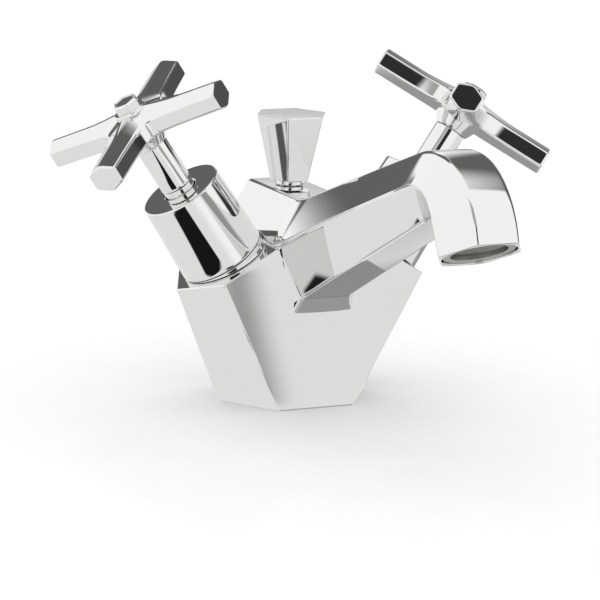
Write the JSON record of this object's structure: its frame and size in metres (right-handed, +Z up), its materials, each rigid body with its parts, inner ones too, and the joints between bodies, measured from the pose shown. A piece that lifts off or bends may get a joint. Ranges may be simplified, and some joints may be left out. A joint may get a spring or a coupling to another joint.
{
  "type": "bathroom mixer faucet",
  "caption": "Faceted two-handle basin mixer with cross handles on leaning valves, a hexagonal spout with an aerator, and a pop-up waste lift knob.",
  "frame": {"origin": "centre of the base face, where the body stands on the basin deck", "axes": "+Z up; the spout points along -Y; +X is to the right seen from the spout's side, so the left valve leans towards -X and the right one towards +X"},
  "size_m": [0.1801, 0.1776, 0.1228],
  "materials": {
    "chrome": "polished",
    "brass": "machined",
    "steel": "satin",
    "ceramic": "lapped alumina ceramic",
    "rubber": "moulded",
    "plastic": "moulded"
  },
  "bodies": {
    "mixer": {"body_casting": "chrome", "base_gasket": "rubber", "aerator_housing": "steel", "aerator_mesh": "steel", "aerator_insert": "plastic", "aerator_seal": "rubber", "left_shroud": "chrome", "left_cartridge": "brass", "left_seat_seal": "rubber", "left_fixed_disc": "ceramic", "left_spindle_seal": "rubber", "right_shroud": "chrome", "right_cartridge": "brass", "right_seat_seal": "rubber", "right_fixed_disc": "ceramic", "right_spindle_seal": "rubber", "rod_guide_bush": "chrome", "rod_seal": "rubber"},
    "left_turning_parts": {"left_handle": "chrome", "left_neck_sleeve": "chrome", "left_handle_screw": "steel", "left_index_cap": "chrome", "left_spindle": "brass", "left_moving_disc": "ceramic"},
    "right_turning_parts": {"right_handle": "chrome", "right_neck_sleeve": "chrome", "right_handle_screw": "steel", "right_index_cap": "chrome", "right_spindle": "brass", "right_moving_disc": "ceramic"},
    "lift": {"lift_knob": "chrome", "lift_rod": "brass"}
  },
  "joints": [
    {"name": "left_handle_turn", "type": "hinge", "parent": "mixer", "child": "left_turning_parts", "pos_m": [-0.025, -0.0041, 0.04575], "axis": [-0.5606, 0, 0.8281], "range_deg": [0, 90]},
    {"name": "right_handle_turn", "type": "hinge", "parent": "mixer", "child": "right_turning_parts", "pos_m": [0.025, -0.0041, 0.04575], "axis": [0.5606, 0, 0.8281], "range_deg": [-90, 0]},
    {"name": "lift_knob_slide", "type": "slide", "parent": "mixer", "child": "lift", "axis": [0, 0, 1], "range_m": [0, 0.012]}
  ]
}
